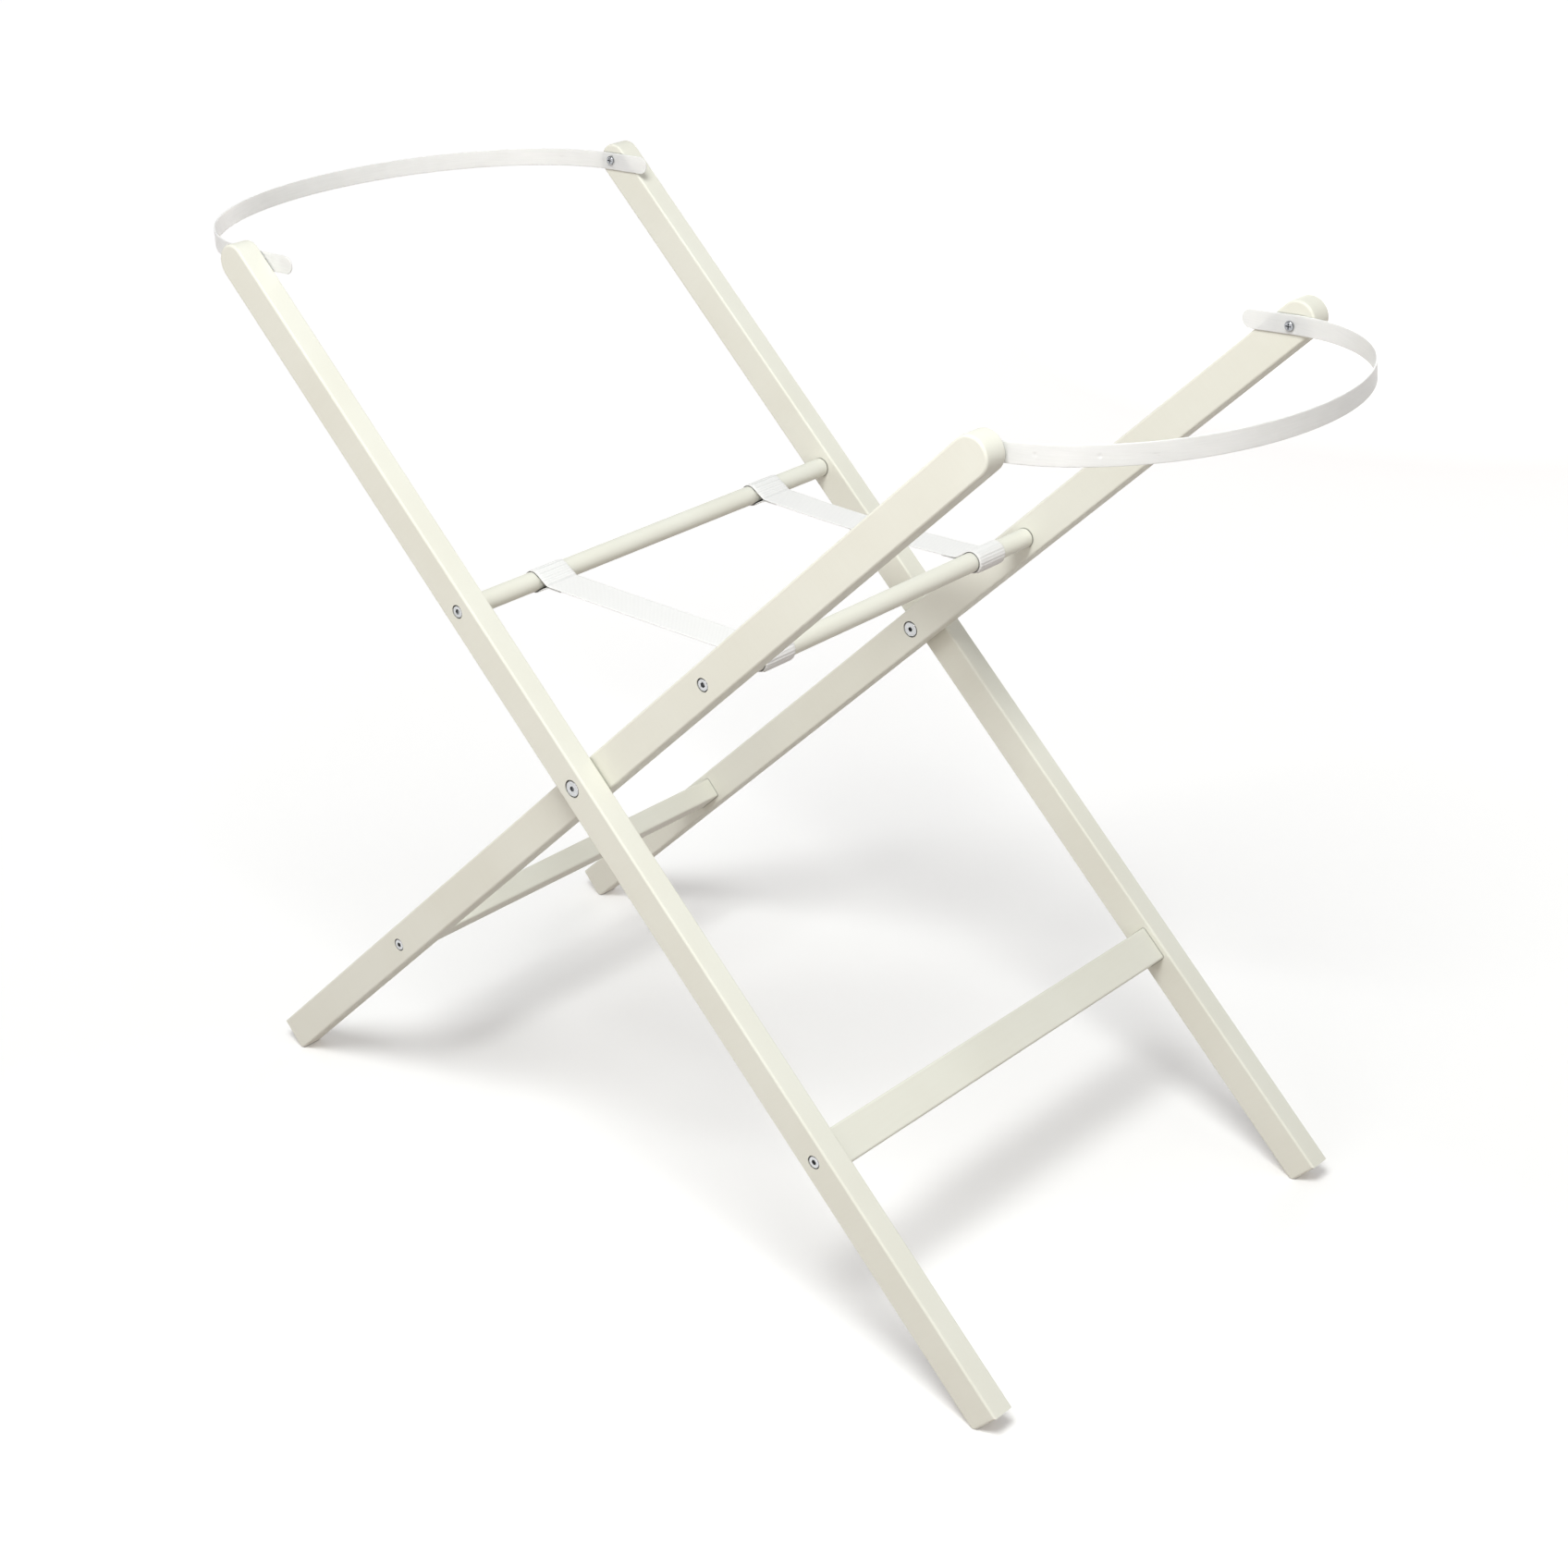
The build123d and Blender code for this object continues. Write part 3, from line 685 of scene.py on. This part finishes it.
def web_ring(point, normal, y_middle, half_width, raised):
    """One section of the webbing: its upper face from right to left, then its lower face back."""
    x, z = point
    nx, nz = normal
    upper = []
    lower = []
    for column in COLUMNS:
        top = web_half_thickness(column)
        rib = raised * (1 - max(0.0, (abs(column) - RIB_END_START) / (1 - RIB_END_START)) ** 2)
        y = y_middle + column * half_width
        upper.append((x + nx * (top + rib), y, z + nz * (top + rib)))
        lower.append((x - nx * top, y, z - nz * top))
    return upper + lower[::-1]


def stitch_vertices(x, y, z, nx, nz, base):
    """A spindle of thread that lies across the strap, its ends pulled down into the webbing."""
    vertices = []
    for share in np.linspace(0, 1, STITCH_RINGS):
        swell = math.sin(math.pi * share) ** 0.5
        fat = STITCH_RADIUS * (STITCH_END_SHARE + (1 - STITCH_END_SHARE) * swell)
        lie = base - STITCH_END_SINK * (2 * share - 1) ** 2
        for k in range(STITCH_SIDES):
            turn = 2 * math.pi * k / STITCH_SIDES
            out = lie + fat * math.sin(turn)
            aside = fat * math.cos(turn)
            place = (x + nx * out + nz * aside, y + share * STITCH_LENGTH, z + nz * out - nx * aside)
            vertices.append(place)
    return vertices


def make_strap(name, sag):
    """One webbing strap with its two sewn loops, and the stitches in the sewn parts."""
    low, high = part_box(name)
    y_middle = (low.y + high.y) / 2
    centres = []
    for side in ("outer", "inner"):
        a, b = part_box(f"{side}_dowel")
        centres.append(((a.x + b.x) / 2, (a.z + b.z) / 2))
    line, marks = strap_path(*centres, sag)
    normals = left_normals(line)
    starts = overlap_starts(line, marks, *centres)

    def lift(at):
        return sum(rib_profile(at - start) for start in starts)

    rings = []
    for i, mark in enumerate(marks):
        half_width = WEB_HALF_WIDTH + (SCALLOP_OUT if i % 2 else SCALLOP_IN)
        rings.append(web_ring(line[i], normals[i], y_middle, half_width, lift(mark)))

    def uv(i, j):
        column = (COLUMNS + COLUMNS[::-1])[j]
        return (column * WEB_HALF_WIDTH / MM, marks[i] / MM)

    strap = ring_mesh(f"{name}_webbing", rings, white_webbing, uv)

    # rows of stitches in the grooves between the ribs
    vertices = []
    faces = []
    for start in starts:
        for row in range(1, RIBS):
            at = start + row * RIB_PITCH
            x, z = interpolated(at, marks, line)
            nx, nz = interpolated(at, marks, normals)
            base = WEB_THICKNESS / 2 + lift(at) + STITCH_LIFT
            y = y_middle - WEB_HALF_WIDTH + FIRST_STITCH_INSET
            while y + STITCH_LENGTH < y_middle + WEB_HALF_WIDTH - LAST_STITCH_INSET:
                faces += tube_faces(STITCH_RINGS, STITCH_SIDES, first=len(vertices))
                vertices += stitch_vertices(x, y, z, nx, nz, base)
                y += STITCH_LENGTH + STITCH_GAP
    stitching = closed_piece(f"{name}_stitching", vertices, faces, white_thread)

    (x1, z1), (x2, z2) = centres
    start = (x1 + NECK + FREE_END, y_middle, z1)
    for piece in (strap, stitching):
        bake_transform(piece)
        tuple(start)
    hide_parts(name)


make_strap("strap_right", RIGHT_SAG)
make_strap("strap_left", LEFT_SAG)


# ---------------------------------------------------------------- floor and light

# The lamp hangs over the stand's right side; one fill stands in front of it and one low behind it
LAMP = Vector((0.79, -1.27, 2.7))
LAMP_AIM = Vector((0.0, 0.0, 0.3))
LAMP_SIZE = 1.15
LAMP_POWER = 57.0
FILL = Vector((0.6, -3.2, 1.3))
FILL_SIZE = 2.2
FILL_POWER = 17.5
BACK_FILL = Vector((-0.9, 3.0, 0.7))
BACK_FILL_SIZE = 1.2
BACK_FILL_POWER = 21.0

# Light of the studio by height, from straight down (0) to straight up (1): warm dusk below, in
# place of the floor's own glow, a white wall from just under the horizon, and an even ceiling
DUSK = (0.42, 0.365, 0.330)
WALL = (1.0, 0.975, 0.965)
DOME_LEVEL = 0.42
DOME = [
    (0.0, DUSK),
    (0.484, DUSK),
    (0.487, WALL),
    (0.63, WALL),
    (0.70, (DOME_LEVEL, DOME_LEVEL, DOME_LEVEL)),
]

# The floor glows by as much as each place lacks to full white.  WALL_ON_FLOOR is the wall's light
# there, and FILL_SHARE the part of the fills' light that is counted
FLOOR = 60.0
PAPER = 0.97
PAPER_SPECK = 0.01
WALL_ON_FLOOR = 0.045
FILL_SHARE = 0.85


def light_on_floor(shader, place, lamp, aim, power):
    """Light of one softbox that falls on a place of the floor, as a share of full white."""
    beam = (aim - lamp).normalized()
    away = [shader.math("SUBTRACT", place[i], lamp[i]) for i in range(2)]
    squares = [shader.math("MULTIPLY", d, d) for d in away]
    spread = shader.math("ADD", shader.math("ADD", *squares), lamp.z**2)
    ahead = [shader.math("MULTIPLY", d, beam[i]) for i, d in enumerate(away)]
    ahead = shader.math("ADD", shader.math("ADD", *ahead), -lamp.z * beam.z)
    ahead = shader.math("MAXIMUM", ahead, 0.0)
    fallen = shader.math("MULTIPLY", ahead, power * lamp.z / math.pi**2)
    return shader.math("DIVIDE", fallen, shader.math("MULTIPLY", spread, spread))


def floor_paper(name):
    """White studio paper that stays evenly lit outwards from the lamp."""
    shader = Shader(name, Specular_IOR_Level=0.0, Emission_Color=(1, 1, 1, 1))
    place = shader.axes(shader.coords())
    fallen = DOME_LEVEL + WALL_ON_FLOOR
    for lamp, aim, power in (
        (LAMP, LAMP_AIM, LAMP_POWER),
        (FILL, pivot, FILL_POWER * FILL_SHARE),
        (BACK_FILL, pivot, BACK_FILL_POWER * FILL_SHARE),
    ):
        fallen = shader.math("ADD", light_on_floor(shader, place, lamp, aim, power), fallen)
    reflected = shader.math("MULTIPLY", fallen, PAPER)
    missing = shader.math("MAXIMUM", shader.math("SUBTRACT", 1.0, reflected), 0.0)
    shader.link(missing, shader.bsdf.inputs["Emission Strength"])
    speck = shader.noise(shader.coords(), scale=1.2)
    colour = shader.ramp(speck, [(0.3, (PAPER,) * 3), (0.7, (PAPER + PAPER_SPECK,) * 3)])
    return shader.finish(colour, shader.range(speck, low=0.85, high=0.95))


def softbox(name, place, size, power, colour, aim):
    """Round soft lamp facing a point."""
    data = bpy.data.lights.new(name, "AREA")
    data.shape = "DISK"
    data.size = size
    data.energy = power
    data.color = colour
    lamp = bpy.data.objects.new(name, data)
    lamp.location = place
    lamp.rotation_mode = "QUATERNION"
    lamp.rotation_quaternion = (place - aim).to_track_quat("Z", "Y")
    bpy.context.scene.collection.objects.link(lamp)


def studio_world(name, stops):
    """Light from all round that depends only on how high it comes from."""
    world = bpy.data.worlds.new(name)
    world.use_nodes = True
    tree = world.node_tree
    direction = tree.nodes.new("ShaderNodeTexCoord")
    split = tree.nodes.new("ShaderNodeSeparateXYZ")
    tree.links.new(direction.outputs["Generated"], split.inputs["Vector"])
    height = tree.nodes.new("ShaderNodeMapRange")
    height.inputs["From Min"].default_value = -1.0
    tree.links.new(split.outputs["Z"], height.inputs["Value"])
    dome = tree.nodes.new("ShaderNodeValToRGB")
    fill_ramp(dome.color_ramp.elements, stops)
    tree.links.new(height.outputs["Result"], dome.inputs["Fac"])
    tree.links.new(dome.outputs["Color"], tree.nodes["Background"].inputs["Color"])
    return world


corners = [(-FLOOR, -FLOOR, 0), (FLOOR, -FLOOR, 0), (FLOOR, FLOOR, 0), (-FLOOR, FLOOR, 0)]
floor_mesh = bpy.data.meshes.new("studio_floor")
floor_mesh.from_pydata(corners, [], [(0, 1, 2, 3)])
floor_mesh.materials.append(floor_paper("studio_paper"))
studio_floor = bpy.data.objects.new("studio_floor", floor_mesh)
studio_floor.visible_diffuse = False
bpy.context.scene.collection.objects.link(studio_floor)

softbox("lamp", LAMP, LAMP_SIZE, LAMP_POWER, (0.985, 1.0, 0.985), LAMP_AIM)
softbox("fill", FILL, FILL_SIZE, FILL_POWER, (1.0, 0.945, 0.92), pivot)
softbox("back_fill", BACK_FILL, BACK_FILL_SIZE, BACK_FILL_POWER, (1.0, 0.96, 0.94), pivot)
bpy.context.scene.world = studio_world("studio", DOME)


# ---------------------------------------------------------------- camera

CAMERA_AZIMUTH = math.radians(43.065)
CAMERA_ELEVATION = math.radians(24.417)
CAMERA_ROLL = math.radians(-1.404)
CAMERA_DISTANCE = 2.28119
AIM_RIGHT = -0.01183
AIM_UP = -0.00525
CAMERA_SENSOR_MM = 36.0
CAMERA_LENS_MM = 64.5531
CAMERA_SHIFT = (0.01916, -0.05153)
CAMERA_REACH = 100.0


def make_camera():
    """Camera that looks just beside the fold pivot, slightly rolled."""
    azimuth, elevation, roll = CAMERA_AZIMUTH, CAMERA_ELEVATION, CAMERA_ROLL
    data = bpy.data.cameras.new("camera")
    data.sensor_width = CAMERA_SENSOR_MM
    data.lens = CAMERA_LENS_MM
    data.shift_x, data.shift_y = CAMERA_SHIFT
    data.clip_end = CAMERA_REACH
    level = math.cos(elevation)
    back = Vector((math.sin(azimuth) * level, -math.cos(azimuth) * level, math.sin(elevation)))
    right = Vector((math.cos(azimuth), math.sin(azimuth), 0))
    up = back.cross(right)
    place = pivot + right * AIM_RIGHT + up * AIM_UP + back * CAMERA_DISTANCE
    rolled_right = right * math.cos(roll) + up * math.sin(roll)
    rolled_up = up * math.cos(roll) - right * math.sin(roll)
    axes = Matrix((rolled_right, rolled_up, back)).transposed().to_4x4()
    camera = bpy.data.objects.new("camera", data)
    camera.matrix_world = Matrix.Translation(place) @ axes
    bpy.context.scene.collection.objects.link(camera)
    return camera


bpy.context.scene.camera = make_camera()
bpy.context.scene.view_settings.view_transform = "Standard"
bpy.context.scene.view_settings.look = "None"
